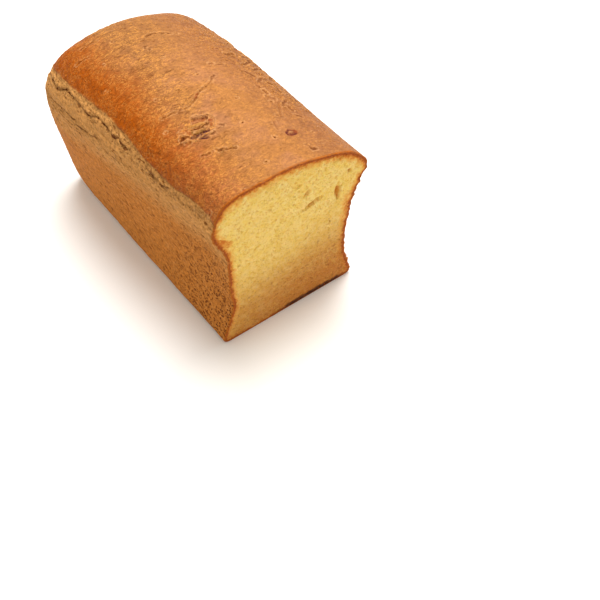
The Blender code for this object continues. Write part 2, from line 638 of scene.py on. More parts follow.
@dataclass
class Crust:
    """The skin from the oven: its relief, its zones and its wall.

    Attributes:
        form: the smooth loaf.
        grain: its irregularity.
        thickness: how thick its wall is.
        edge_left: the dome's lower edge on the left, as (along, height).
        edge_right: the same on the right.
        edge_heel: its height at the heel.
        step: how far the dome's edge stands over the torn band below it.
        creases: cracks and wrinkles in the dome.
        pits: small holes in the dome, as (across, along).
    """

    form: LoafForm
    grain: Grain
    thickness: float = 3.0
    edge_left: tuple[Pair, ...] = (
        (0, 110), (8, 115.5), (24, 114.8), (39, 113), (52, 113.3), (64, 114.1),
        (83, 116.8), (101, 117.7), (125, 115.9), (145, 113.7), (155, 112), (180, 106),
    )
    edge_right: tuple[Pair, ...] = ((0, 103), (30, 104), (70, 102), (110, 105), (150, 103), (180, 100))
    edge_heel: float = 104
    step: float = 0.45
    crack_open: tuple[Pair, ...] = (
        (0, 0.1), (15, 0.3), (36, 0.45), (60, 0.45), (70, 0.3), (88, 0.5), (96, 0.7), (118, 0.6),
        (128, 0.8), (140, 0.9), (168, 1.0), (176, 0.6), (186, 0.4),
    )
    creases: tuple[Crease, ...] = (
        # cracks and wrinkles
        Crease(((0.7, 132.6), (3.5, 133.0), (6.4, 133.6), (10.7, 132.8), (15.6, 130.0)), 0.5),
        Crease(((18.0, 130.2), (19.5, 128.6)), 0.4),
        Crease(((13.5, 83.0), (11.0, 81.4), (9.5, 79.2)), 0.35, 0.45, 0.3, 0.6),
        Crease(((8.0, 78.4), (5.5, 77.4), (2.3, 75.2), (-1.0, 74.5)), 0.35, 0.45, 0.3, 0.5),
        Crease(((-1.0, 74.5), (-4.4, 72.8)), 0.4),
        Crease(((-4.2, 73.0), (-6.6, 71.6)), 0.7, 0.4, 0.2, 0.9, Tone.EMBER),
        Crease(((-6.0, 71.0), (-8.0, 70.5), (-13.1, 67.8), (-16.0, 68.0)), 0.35, 0.4, 0.2, 0.7),
        Crease(((-20.4, 69.4), (-24.0, 70.3), (-29.0, 71.0)), 0.4, 0.4, 0.25, 0.7),
        Crease(((-20.4, 34.4), (-19.5, 32.0), (-17.6, 32.2)), 0.30, 0.6, 0.5, 0.8),
        Crease(((-16.6, 31.4), (-16.1, 30.3), (-13.5, 29.7), (-11.7, 27.8)), 0.25, 0.5, 0.5, 0.65),
        Crease(((-18.2, 31.2), (-20.6, 28.8)), 0.8, 0.4, 0.0, 0.55, Tone.KHAKI),
        Crease(((-28.0, 35.4), (-26.2, 34.2), (-24.0, 34.6)), 0.35, 0.5, 0.4, 0.5),
        Crease(((17.3, 34.6), (15.5, 30.5), (14.7, 27.1)), 0.3, 0.4, 0.3, 0.45),
        Crease(((22.0, 38.0), (24.5, 35.0)), 0.35, 0.4, 0.2, 0.5),
        Crease(((32.3, 35.5), (35.0, 32.0)), 0.35, 0.4, 0.25, 0.6),
        Crease(((20.0, 10.6), (20.6, 8.6)), 0.4, 0.4, 0.3, 0.5),
        Crease(((20.4, 7.4), (20.6, 5.9), (22.8, 5.7)), 0.6, 0.5, 0.4, 0.7),
        Crease(((27.4, 9.4), (29.0, 8.8), (31.6, 9.3)), 0.4, 0.4, 0.3, 0.4),
        Crease(((43.0, 115.5), (47.0, 118.0), (51.3, 121.1)), 0.6, 0.4, 0.45, 0.60),
        Crease(((46.0, 109.5), (49.0, 111.0), (52.0, 112.0)), 0.7, 0.5, 0.2, 0.8, Tone.EMBER),
        Crease(((33.5, 102.4), (34.6, 100.5), (39.6, 102.7)), 0.6, 0.4, 0.45, 0.60),
        Crease(((17.8, 93.8), (19.4, 93.3)), 0.6, 0.4, 0.45, 0.55),
        Crease(((21.0, 91.7), (25.4, 91.2)), 0.3, 0.3, 0.2, 0.55),
        Crease(((36.6, 88.7), (41.9, 91.2), (46.4, 95.3)), 0.6, 0.4, 0.45, 0.55),
        Crease(((40.4, 83.3), (46.5, 86.8), (51.8, 89.7)), 0.6, 0.4, 0.45, 0.60),
        Crease(((34.8, 70.0), (38.3, 73.6), (41.8, 73.2)), 0.6, 0.4, 0.45, 0.55),
        Crease(((30.6, 66.8), (31.4, 64.0)), 0.6, 0.4, 0.45, 0.50),
        Crease(((39.5, 68.9), (42.4, 65.2), (41.3, 58.9)), 0.5, 0.5, 0.3, 0.7),
        Crease(((37.3, 49.6), (34.1, 47.3), (31.3, 44.7)), 0.6, 0.4, 0.45, 0.55),
        Crease(((34.2, 43.1), (33.7, 39.0)), 0.6, 0.4, 0.45, 0.50),
        Crease(((45.1, 50.4), (49.4, 51.4)), 0.6, 0.4, 0.45, 0.55),
        Crease(((30.8, 48.0), (27.0, 41.8), (23.4, 36.0)), 0.35, 0.5, 0.3, 0.35),
        Crease(((33.3, 81.1), (36.1, 75.5)), 0.6, 0.4, 0.45, 0.50),
        Crease(((31.3, 61.7), (30.9, 57.5)), 0.6, 0.4, 0.45, 0.40),
        Crease(((29.0, 55.5), (31.5, 52.0)), 0.6, 0.4, 0.45, 0.40),
        Crease(((44.4, 99.4), (50.3, 102.1)), 0.6, 0.4, 0.45, 0.55),
        Crease(((47.0, 76.0), (50.5, 79.0)), 0.6, 0.4, 0.45, 0.55),
        Crease(((43.0, 41.0), (46.0, 37.5)), 0.6, 0.4, 0.45, 0.40),
        Crease(((-33.0, 141.0), (-36.5, 143.0), (-40.0, 143.5)), 0.45, dark=0.7),
        Crease(((-22.0, 149.0), (-26.0, 151.5), (-32.0, 151.5)), 0.4, dark=0.6),
        # the torn blister: a reddish groove, flakes, a burnt hollow and curled threads of skin
        Crease(((-18.4, 57.7), (-15.4, 56.8), (-12.9, 55.5)), 1.1, 0.6, 0.3, 0.8, Tone.EMBER),
        Crease(((-17.7, 58.9), (-15.0, 58.1), (-12.4, 56.2)), 0.22, 0.5, 0.3, 0.6),
        Crease(((-18.8, 56.4), (-15.6, 55.2), (-13.4, 54.5)), 0.22, 0.4, 0.3, 0.55),
        Crease(((-17.6, 61.4), (-14.5, 60.4), (-12.3, 58.6)), 0.30, -0.5, 0.0, 0.9, Tone.PALE),
        Crease(((-10.9, 55.9), (-11.6, 54.9)), 0.7, 0.5, 0.2, 0.8),
        Crease(((-13.5, 51.9), (-14.3, 51.2)), 0.6, 0.5, 0.2, 0.8),
        Crease(((-15.7, 51.4), (-16.4, 50.8)), 0.4, 0.5, 0.2, 0.7),
        Crease(((-21.6, 55.2), (-18.8, 54.1), (-15.4, 52.9)), 1.1, -0.6, 0.0, 1.0, Tone.GOLDEN),
        Crease(((-22.6, 53.4), (-20.2, 52.3), (-17.4, 51.3)), 0.28, 0.5, 0.3, 0.75),
        Crease(((-22.6, 51.0), (-20.6, 50.0), (-17.6, 48.9)), 1.3, -0.2, 0.2, 0.85, Tone.KHAKI),
        Crease(((-10.6, 52.4), (-11.6, 50.6), (-12.6, 49.2)), 0.9, -0.5, 0.0, 0.8, Tone.EMBER),
        Crease(((-25.2, 55.6), (-24.6, 53.4), (-23.8, 51.4)), 1.1, 0.3, 0.3, 0.55, Tone.EMBER),
        Crease(((-24.8, 48.4), (-23.2, 47.2)), 1.1, 0.9, 0.2, 1.0, Tone.BURNT),
        Crease(((-22.0, 48.2), (-19.4, 47.5)), 0.8, 1.0, 0.2, 1.0, Tone.BURNT),
        Crease(((-17.6, 47.7), (-15.4, 46.9)), 0.7, 0.8, 0.2, 1.0, Tone.BURNT),
        Crease(((-21.6, 45.1), (-19.9, 44.2), (-18.4, 43.6)), 0.9, 0.7, 0.3, 1.0, Tone.BURNT),
        Crease(((-19.0, 45.7), (-17.2, 44.9)), 0.35, 0.5, 0.0, 0.8, Tone.BURNT),
        Crease(((-23.6, 49.6), (-21.0, 49.0)), 0.25, 0.4, 0.0, 0.7),
        Crease(((-22.9, 46.4), (-20.6, 46.0)), 0.4, -0.5, 0.0, 0.9, Tone.PALE),
        Crease(((-16.4, 45.6), (-14.2, 44.9), (-12.0, 45.2)), 0.4, -0.6, 0.0, 0.9, Tone.PALE),
        Crease(((-16.2, 44.3), (-13.2, 43.5)), 0.28, 0.5, 0.0, 0.7),
        Crease(((-25.8, 45.4), (-24.0, 44.6)), 0.3, -0.4, 0.0, 0.7, Tone.PALE),
        Crease(((-30.9, 51.6), (-29.4, 53.4), (-27.4, 53.4)), 0.32, -0.5, 0.0, 0.8, Tone.PALE),
        Crease(((-30.2, 50.6), (-28.6, 51.6), (-27.6, 50.6)), 0.5, 0.6, 0.3, 0.75),
        Crease(((-31.0, 49.2), (-29.0, 48.2), (-27.2, 49.0)), 0.32, -0.5, 0.0, 0.8, Tone.PALE),
        Crease(((-29.4, 46.6), (-27.4, 46.4)), 0.5, 0.5, 0.3, 0.7),
        Crease(((-28.6, 56.4), (-26.4, 57.2), (-24.6, 56.4)), 0.3, -0.4, 0.0, 0.7, Tone.PALE),
        Crease(((-28.2, 54.8), (-26.6, 53.6)), 0.3, 0.4, 0.3, 0.6),
        Crease(((-26.6, 50.8), (-25.8, 49.2)), 0.3, 0.4, 0.3, 0.65),
        Crease(((-30.8, 54.8), (-28.4, 58.0), (-24.5, 60.4), (-20.1, 61.6)), 0.22, -0.4, 0.0, 0.45, Tone.PALE),
        Crease(((-10.4, 58.0), (-8.2, 55.9), (-7.7, 52.7), (-9.8, 48.6)), 0.3, -0.4, 0.0, 0.65, Tone.PALE),
        Crease(((-9.4, 56.0), (-9.0, 53.4)), 0.5, 0.2, 0.0, 0.5, Tone.KHAKI),
        Crease(((-12.6, 58.2), (-10.6, 57.6), (-9.4, 56.4)), 0.28, 0.4, 0.3, 0.65),
        Crease(((-8.8, 46.6), (-7.4, 45.2)), 0.3, 0.4, 0.3, 0.5),
    )
    pits: tuple[Pair, ...] = (
        (-4.3, 120.4), (-1.9, 109.8), (-25.5, 3.9), (-43.3, 9.0), (-39.7, 111.3), (6.0, 88.0),
        (-12.0, 92.0), (28.0, 50.0), (2.0, 41.0), (-33.0, 62.0), (12.0, 60.0), (31.0, 18.0),
        (9.0, 23.0), (-6.0, 10.5), (-17.0, 141.0), (-30.0, 128.0), (-24.0, 84.0), (-5.5, 122.6),
    )
    fine_zone: tuple[float, float, float, float] = (-32.5, -7.0, 27.5, 61.5)
    blister: Pair = (-20.0, 51.0)
    ring: Pair = (19.6, 22.3)
    masks: dict[str, np.ndarray] = field(default_factory=dict)

    def build(self) -> bpy.types.Object:
        """Makes the crust as one closed shell, with its zones stored on it.

        Returns:
            The crust, in the loaf's own space.
        """
        crust = self.form.shell("crust", 2)
        with editing(crust, Pick.EDGES):
            choose(crust, Pick.EDGES, self.runs_far)
            bpy.ops.mesh.subdivide(number_cuts=1)
        smoothed(crust, 2)
        with editing(crust):
            choose(crust, Pick.FACES, self.is_fine)
            bpy.ops.mesh.subdivide(number_cuts=1)
        points, normals = points_of(crust), normals_of(crust)
        height = self.relief(points, normals)
        loop = open_loop(crust)
        normals[loop, 1] = 0
        points += normals * height[:, None]
        points[:, 2] = np.maximum(points[:, 2], 0)
        points[loop, 1] = self.form.cut_y(points[loop, 0])
        set_points(crust, points)
        for name, mask in self.masks.items():
            keep_mask(crust, name, mask)
        self.outline = points[loop]
        self.turn_in(crust, loop)
        close_with(crust, self.form.inner_wall("crust_wall", self.thickness))
        bpy.ops.object.shade_smooth_by_angle(angle=math.radians(70))
        return crust

    @staticmethod
    def runs_far(edge: bmesh.types.BMEdge) -> bool:
        """Whether an edge runs along the loaf and is longer than the rest."""
        return abs(edge.verts[1].co.y - edge.verts[0].co.y) > 6.2 * MM

    def is_fine(self, face: bmesh.types.BMFace) -> bool:
        """Whether a face lies on the dome round the blister, where the mesh is finer."""
        middle = face.calc_center_median() / MM
        left, right, near, far = self.fine_zone
        return left < middle.x < right and near < middle.y < far and middle.z > 90

    def turn_in(self, crust: bpy.types.Object, loop: list[int]) -> None:
        """Turns the crust's open edge into the loaf, with a worn corner at the cut.

        Args:
            crust: the open crust.
            loop: its open edge.
        """
        corner = self.outline + np.array([0.0, 0.35, 0.0])
        points = points_of(crust)
        points[loop] = corner
        set_points(crust, points)
        smooth = eased(self.outline, 6)
        for inset, back in ((0.35, 0.0), (1.6, 0.6)):
            ring = offset_inwards(self.outline if inset < 1 else smooth, inset)
            ring[:, 1] = self.form.cut_y(ring[:, 0]) + back
            extend_loop(crust, dict(zip(loop, ring)))
            loop = open_loop(crust)
            points = points_of(crust)
            loop = self.matched(points, loop, ring)

    @staticmethod
    def matched(points: np.ndarray, loop: list[int], ring: np.ndarray) -> list[int]:
        """Puts an open loop's vertices in the order of the ring they were made from.

        Args:
            points: the mesh's points.
            loop: the vertices of its open loop.
            ring: the ring's points.

        Returns:
            The vertices, one for each point of the ring.
        """
        places = points[loop]
        return [loop[int(np.argmin(((places - point) ** 2).sum(axis=1)))] for point in ring]

    def above_edge(self, points: np.ndarray) -> np.ndarray:
        """How far each point lies above the dome's lower edge.

        Args:
            points: rows of three millimetres.

        Returns:
            The heights, below zero under the edge.
        """
        along = points[:, 1]
        left = np.interp(along, *zip(*self.edge_left))
        right = np.interp(along, *zip(*self.edge_right))
        edge = blended(left, right, fade(-25, 25, points[:, 0]))
        edge = blended(edge, np.full(len(points), self.edge_heel), fade(178, 186, along))
        return points[:, 2] - edge + 0.8 * self.grain.layered(points, 7, 11)

    def relief(self, points: np.ndarray, normals: np.ndarray) -> np.ndarray:
        """Works out the crust's zones and how far each point moves along its normal.

        Args:
            points: the smooth surface's points.
            normals: their normals.

        Returns:
            The heights in millimetres. The zones are kept in masks.
        """
        grain = self.grain
        above = self.above_edge(points)
        below = -above
        dome = fade(-0.9, 0.9, above)
        bottom = fade(-0.6, -0.9, normals[:, 2])
        side = (1 - dome) * (1 - bottom)
        from_cut = points[:, 1] - self.form.cut_y(points[:, 0])

        # the whole loaf is a little uneven, and its dome pebbly, most of all at the left and back
        coarse = 0.35 + 0.65 * fade(8, -22, points[:, 0] - 0.16 * (points[:, 1] - 60))
        coarse = np.maximum(coarse, fade(22, 44, points[:, 0]) * fade(25, 55, points[:, 1]))
        height = 0.35 * grain.layered(points, 22, 21) * (1 - bottom)
        pebble, _, _ = grain.cells(points, (3.2, 2.1, 2.1), 22)
        height += dome * coarse * (0.42 * (0.5 - pebble) + 0.30 * grain.layered(points, (4.4, 2.1, 2.1), 23))
        height += side * 0.18 * grain.layered(points, (2.2, 4, 2.2), 24)

        # the torn band below the dome: strands that run down towards the cut, and a ragged crack
        slope = 0.30 * fade(6, 26, below)
        sheared = points - np.stack([np.zeros(len(points))] * 2 + [slope * points[:, 1]], axis=1)
        shred = side * fade(58, 14, below + 12 * grain.layered(points, (20, 30, 9), 25))
        strands = grain.layered(sheared, (4, 11, 2.1), 26) + 0.6 * grain.layered(sheared, (3, 5, 1.5), 27)
        height += (0.20 * side + 0.40 * shred) * strands
        height -= self.step * fade(20, 0.5, below) * fade(-0.6, 0.6, below) * side
        line = 5.0 + 1.2 * grain.swell(points, (30, 9, 30), 28) + 1.4 * grain.swell(points, (30, 3.0, 30), 29)
        line += 2.6 * np.exp(-(((points[:, 1] - 152) / 5) ** 2)) - 1.8 * np.exp(-(((points[:, 1] - 140) / 4) ** 2))
        from_crack = below - line
        opening = np.interp(points[:, 1], *zip(*self.crack_open))
        opening = np.clip(opening + 0.9 * grain.layered(points, (30, 5.0, 30), 30), 0, 1) * side
        height -= 0.8 * fade(1.0, 0.1, np.abs(from_crack)) * opening
        height += 0.5 * fade(1.6, 0.4, np.abs(from_crack + 1.9)) * opening
        torn = side * fade(10, 2, below)
        height += torn * 0.48 * grain.layered(points, (2.2, 5.0, 1.9), 31)
        long_lines = np.abs(below - 15 - 5.5 * np.sin((points[:, 1] - 100) / 30))
        long_lines += 0.7 * grain.layered(points, (30, 7, 30), 32)
        line_gap = np.full(len(points), 6.0)
        for middle, start in ((0, 96), (3.4, 118)):
            length = fade(start, start + 12, points[:, 1]) * fade(190, 178, points[:, 1])
            height -= 0.5 * fade(1.0, 0.1, np.abs(long_lines - middle)) * length * side
            line_gap = np.minimum(line_gap, np.abs(long_lines - middle) + 6 * (1 - length))

        # pinholes, thickest low down near the cut
        crowd = 0.18 + 0.82 * fade(75, 10, points[:, 1]) * fade(88, 50, points[:, 2])
        crowd *= 1 - 0.6 * fade(-10, 10, points[:, 0])
        gap, _, lot = grain.cells(points, 3.0, 41)
        hole = fade(0.34, 0.10, gap) * (lot < 0.9 * crowd) * side * fade(100, 60, points[:, 2])
        height -= 0.55 * hole

        # the left side flares a little where it was cut, and crumbs and torn skin stand out there
        flare = fade(-28, -35, points[:, 0]) * fade(24, 0, from_cut)
        height += 2.2 * flare * fade(36, 48, points[:, 2]) * fade(113, 103, points[:, 2])
        at_cut = fade(3.5, 0.4, from_cut) * fade(1.5, 4, points[:, 2])
        ragged = 0.30 + 0.95 * fade(0, 20, points[:, 0]) * fade(112, 100, points[:, 2])
        ragged *= np.clip(1 + 1.1 * grain.layered(points, 8, 46), 0.2, 1.9)
        height += at_cut * ragged * (1 - dome) * 1.5 * grain.layered(points, 2.3, 45, 2)

        height += self.marks(points, dome)
        # pinholes are painted dark as shade
        np.maximum(self.masks["scorch"], 0.85 * hole, out=self.masks["scorch"])
        across = points[:, 0] + 5 * grain.layered(points, 13, 51) + 2.5 * grain.layered(points, 4, 52)
        self.masks.update(
            above=np.clip(above, -90, 60),
            crack_gap=np.clip(from_crack, -9, 9),
            crack_open=opening,
            line_gap=line_gap,
            coarse=coarse,
            shred=shred,
            shoulder=dome * fade(-12, -42, across) * (1 - 0.30 * fade(70, 15, points[:, 1])),
            rosy=dome * fade(8, 34, across),
            # Painted shade on the back and left of the dome, where it turns from the light, in a browner tone.
            baked=dome * np.maximum(fade(80, 140, points[:, 1]), fade(-4, -28, across) * fade(40, 80, points[:, 1])),
            wrinkled=dome * fade(20, 36, across) * fade(26, 48, points[:, 1]) * fade(150, 125, points[:, 1]),
            lip=fade(1.0, 0.1, from_cut),
            bottom=bottom,
            crowd=crowd * side,
        )
        return height

    def marks(self, points: np.ndarray, dome: np.ndarray) -> np.ndarray:
        """Adds the cracks, pits, blister and wrinkles of the dome.

        Args:
            points: the smooth surface's points.
            dome: 1 on the dome's skin.

        Returns:
            Their share of the height. Their colours are kept in masks.
        """
        grain = self.grain
        height = np.zeros(len(points))
        tones = {tone: np.zeros(len(points)) for tone in Tone}
        warp = np.stack([grain.swell(points, 2.2, salt) for salt in (61, 62, 63)], axis=1)
        bent = points + 0.6 * warp
        crease_gap = np.full(len(points), 6.0)
        crease_dark = np.zeros(len(points))
        for crease in self.creases:
            gap = crease.distance(bent)
            gone = fade(crease.width * 1.3 + 0.5, crease.width * 0.2, gap) * dome
            lip = fade(1.0, 0.1, np.abs(gap - crease.width - 1.1)) * dome * fade(-0.5, 0.5, warp[:, 0])
            height += crease.lip * lip - crease.depth * gone
            np.maximum(tones[Tone.PALE], 1.6 * crease.lip * lip, out=tones[Tone.PALE])
            # creases of this tone are painted dark as shade in the material
            if crease.tone is Tone.CREVICE_SHADE:
                gap = gap + 9 * (1 - dome)
                nearer = gap - crease.width < crease_gap
                crease_gap = np.where(nearer, gap - crease.width, crease_gap)
                crease_dark = np.where(nearer, crease.dark, crease_dark)
            else:
                shade = crease.dark * fade(crease.width + 0.9, crease.width - 0.5, gap) * dome
                np.maximum(tones[crease.tone], shade, out=tones[crease.tone])
        # pits are painted dark as shade
        for across, along in self.pits:
            gap = np.hypot(bent[:, 0] - across, bent[:, 1] - along) + 90 * (points[:, 2] < 70)
            height -= 0.6 * fade(1.4, 0.2, gap)
            nearer = gap - 0.5 < crease_gap
            crease_gap = np.where(nearer, gap - 0.5, crease_gap)
            crease_dark = np.where(nearer, 0.8, crease_dark)

        # the skin is rumpled round the blister
        away = points[:, :2] - np.array(self.blister)
        rumpled = fade(1.15, 0.7, np.hypot(away[:, 0] / 13.0, away[:, 1] / 10.0)) * dome
        height += rumpled * (0.25 + 0.45 * grain.layered(points, (3.2, 1.7, 2.0), 66))
        self.masks["frayed"] = rumpled * (1 - 0.6 * fade(0.5, 0.2, np.hypot(away[:, 0] / 13, away[:, 1] / 10)))

        # a ring-shaped pit near the cut
        gap = np.hypot((bent[:, 0] - self.ring[0]) / 1.25, bent[:, 1] - self.ring[1])
        ring = fade(1.6, 0.3, np.abs(gap - 2.1)) * dome
        height += 0.5 * fade(2.0, 0.4, gap) * dome - 0.5 * ring
        shade = 0.8 * ring * np.clip(0.75 + 0.9 * warp[:, 2], 0, 1)
        np.maximum(tones[Tone.BURNT], shade, out=tones[Tone.BURNT])
        np.maximum(tones[Tone.EMBER], 0.9 * ring, out=tones[Tone.EMBER])
        np.maximum(tones[Tone.PALE], 0.6 * fade(1.3, 0.6, gap) * dome, out=tones[Tone.PALE])
        self.masks.update({tone.value: shade for tone, shade in tones.items()})
        self.masks.update(crease_gap=crease_gap, crease_dark=crease_dark)
        return height


# ---------------------------------------------------------------- crumb


@dataclass
class Crumb:
    """The inside of the loaf: the cut face in full detail, and a plain block behind it.

    Attributes:
        form: the smooth loaf.
        grain: its irregularity.
        outline: the crust's edge round the cut, in order.
        across: how many faces the cut face has across.
        up: how many it has up.
        inset: how far inside the crust's outer edge the cut face ends.
        wall_gap: how far the hidden block lies inside the crust's surface.
    """

    form: LoafForm
    grain: Grain
    outline: np.ndarray
    across: int = 280
    up: int = 320
    inset: float = 0.25
    wall_gap: float = 3.4
    holes: tuple[tuple[float, float, float, float, float, float], ...] = (
        # across, height, half-width, half-height, slant, depth
        (32.6, 88.5, 2.0, 6.4, -0.10, 2.6),
        (15.0, 90.2, 6.2, 1.8, 0.28, 1.8),
        (12.0, 101.0, 2.6, 2.2, 0.50, 1.2),
        (40.0, 101.3, 1.2, 1.4, 0.00, 1.6),
        (32.0, 114.5, 4.2, 1.1, 0.25, 0.9),
        (6.8, 109.6, 1.6, 1.0, 0.30, 0.9),
        (-30.0, 98.0, 0.8, 1.0, 0.00, 0.9),
        (-22.0, 78.0, 1.8, 0.7, 0.70, 0.9),
        (28.0, 66.0, 0.8, 1.0, 0.00, 0.9),
    )

    def build(self) -> bpy.types.Object:
        """Makes the crumb as one closed solid, with its zones stored on it.

        Returns:
            The crumb, in the loaf's own space.
        """
        bpy.ops.object.select_all(action="DESELECT")
        bpy.ops.mesh.primitive_grid_add(
            x_subdivisions=self.across, y_subdivisions=self.up, size=2.0
        )
        crumb = bpy.context.object
        crumb.name = crumb.data.name = "crumb"
        grid = points_of(crumb) * MM
        border = offset_inwards(eased(self.outline, 1), self.inset)
        face = self.patch(border, (grid[:, 0] + 1) / 2, (grid[:, 1] + 1) / 2)
        inset = self.distance_to(face, self.outline)
        face[:, 1] = self.form.cut_y(face[:, 0]) + self.relief(face, inset)
        set_points(crumb, face)
        for name, mask in self.masks(face, inset).items():
            keep_mask(crumb, name, mask)
        loop = open_loop(crumb)
        ring = face[loop] + np.array([0.0, 1.2, 0.0])
        extend_loop(crumb, dict(zip(loop, ring)))
        close_with(crumb, self.form.inner_wall("crumb_wall", self.wall_gap))
        bpy.ops.object.shade_smooth_by_angle(angle=math.radians(75))
        return crumb

    def patch(self, ring: np.ndarray, u: np.ndarray, v: np.ndarray) -> np.ndarray:
        """Spreads a unit square over the inside of a ring.

        Args:
            ring: the ring's points, in order.
            u: each point's place across, from 0 to 1.
            v: each point's place up, from 0 to 1.

        Returns:
            The spread points.
        """
        across, up = ring[:, 0], ring[:, 2]
        corners = [
            int(np.argmin(up + across)),
            int(np.argmin(up - across)),
            int(np.argmax(up + across)),
            int(np.argmax(up - across)),
        ]
        turned = np.roll(ring, -corners[0], axis=0)
        places = [(corner - corners[0]) % len(ring) for corner in corners]
        if places[1] > places[3]:
            turned = np.roll(turned[::-1], 1, axis=0)
            places = [(-place) % len(ring) for place in places]
        turned = np.vstack([turned, turned[:1]])
        places.append(len(ring))
        low, right, top, left = (
            turned[start : end + 1] for start, end in zip(places, places[1:])
        )
        low_at, top_at = self.walk(low, u), self.walk(top[::-1], u)
        left_at, right_at = self.walk(left[::-1], v), self.walk(right, v)
        u, v = u[:, None], v[:, None]
        flat = (1 - v) * ((1 - u) * low[0] + u * low[-1]) + v * ((1 - u) * top[-1] + u * top[0])
        return (1 - v) * low_at + v * top_at + (1 - u) * left_at + u * right_at - flat

    @staticmethod
    def walk(line: np.ndarray, share: np.ndarray) -> np.ndarray:
        """Points along a line.

        Args:
            line: the line's points, in order.
            share: how far along it each point is, from 0 to 1.

        Returns:
            The points.
        """
        steps = np.linalg.norm(np.diff(line, axis=0), axis=1)
        gone = np.concatenate([[0], np.cumsum(steps)])
        return np.stack([np.interp(share * gone[-1], gone, line[:, way]) for way in range(3)], axis=1)

    @staticmethod
    def distance_to(points: np.ndarray, ring: np.ndarray) -> np.ndarray:
        """How far points of the cut face lie from its edge.

        Args:
            points: the points.
            ring: the edge, in order.

        Returns:
            The distances.
        """
        start = ring[:, [0, 2]]
        step = np.roll(start, -1, axis=0) - start
        length = (step**2).sum(axis=1)
        found = []
        for chunk in np.array_split(points[:, [0, 2]], 40):
            away = chunk[:, None] - start[None]
            share = np.clip((away * step).sum(axis=2) / length, 0, 1)
            gap = np.linalg.norm(away - share[..., None] * step, axis=2)
            found.append(gap.min(axis=1))
        return np.concatenate(found)

    def relief(self, points: np.ndarray, inset: np.ndarray) -> np.ndarray:
        """How far each point of the cut face lies behind the plane of the knife.

        Args:
            points: the points.
            inset: how far each is from the edge of the cut.

        Returns:
            The depths in millimetres.
        """
        grain = self.grain
        flat = points * np.array([1, 0, 1])
        warp = np.stack([grain.swell(flat, 4.0, salt) for salt in (71, 72, 73)], axis=1)
        bent = flat + 0.7 * warp
        inner = fade(0.4, 1.8, inset)
        rough = 0.7 + 0.8 * fade(70, 20, flat[:, 2])
        near, far, lot = grain.cells(bent, 1.4, 74)
        depth = 0.34 * rough * lot * fade(0.02, 0.40, far - near)
        depth += 0.22 * rough * grain.layered(flat, 2.0, 75)
        near, far, lot = grain.cells(bent, 1.9, 81)
        depth += 0.45 * (lot > 0.62) * fade(0.36, 0.14, near)
        near, far, lot = grain.cells(bent, 4.5, 86)
        depth += 0.7 * (lot > 0.75) * fade(0.20, 0.09, near)
        depth += 0.10 * grain.layered(flat, 0.9, 91)
        depth += 0.25 * grain.layered(flat, 14, 92) + 0.12
        for across, height, half, tall, slant, deep in self.holes:
            dx, dz = points[:, 0] - across, points[:, 2] - height
            dz = dz - slant * dx
            gap = np.hypot(dx / half, dz / tall) + 0.45 * grain.layered(flat, 2.2, 93)
            depth += deep * fade(1.35, 0.15, gap)
        depth = depth * inner + 0.12 * (1 - inner) + 0.12 * (1 - inner) * grain.layered(flat, 0.8, 94)
        return np.maximum(depth, -0.3)

    def masks(self, points: np.ndarray, inset: np.ndarray) -> dict[str, np.ndarray]:
        """The zones of the cut face.

        Args:
            points: the points.
            inset: how far each is from the edge of the cut.

        Returns:
            Numbers for the material, by name: rim is the share of the rim's
            width gone from the edge inwards, edge the same for its brown
            outside, which is narrower, toast the brown of the low right, partly
            the crumb's own colour and partly painted shade, charred the darkest
            stretch of the lower edge, painted as contact shadow, deep how far the
            point lies in a pore.
        """
        grain = self.grain
        x, z = points[:, 0], points[:, 2]
        flat = points * np.array([1, 0, 1])
        width = 1.2 + 1.3 * fade(108, 118, z)
        width += 1.2 * fade(-30, -42, x) * fade(116, 96, z) * (1 - 0.6 * np.exp(-(((z - 92) / 4) ** 2)))
        fold = z + 0.8 * (x + 45)
        width += 4.8 * fade(-33, -39, x) * fade(102.6, 101.2, fold) * np.clip((fold - 95) / 6, 0, 1)
        width += 1.3 * fade(24, 44, x) * fade(90, 110, z)
        width += 1.6 * fade(26, 40, x) * fade(100, 80, z)
        # Along the bottom middle the rim widens: partly ragged brown crust, partly painted shade of the base.
        width += (0.8 + 3.0 * fade(-12, 6, x) * fade(36, 24, x)) * fade(9, 2, z)
        width *= 1 + 0.6 * grain.layered(flat, 2.4, 101)
        width = np.maximum(width, 0.3)
        rim, edge = inset / width, inset / np.minimum(width, 2.6)
        # The brown of the low right is partly the crumb's own colour and partly painted shade: it grows towards the
        # bottom and the right, and stays weaker near the lower left edge.
        edges = 16 * fade(12, -34, x) * fade(30, 5, z)
        toast_and_shade = fade(88, 4, z + edges - 0.14 * x + 6 * grain.layered(flat, 20, 102))
        depth = points[:, 1] - self.form.cut_y(x)
        # Painted contact shadow along the middle of the lower edge, where the loaf meets the floor.
        foot_shade = fade(7, 2, z) * fade(-22, 4, x) * fade(44, 34, x)
        deep = np.clip(depth, 0, 3)
        return {"rim": rim, "edge": edge, "toast_and_shade": toast_and_shade, "foot_shade": foot_shade, "deep": deep}


# ---------------------------------------------------------------- materials


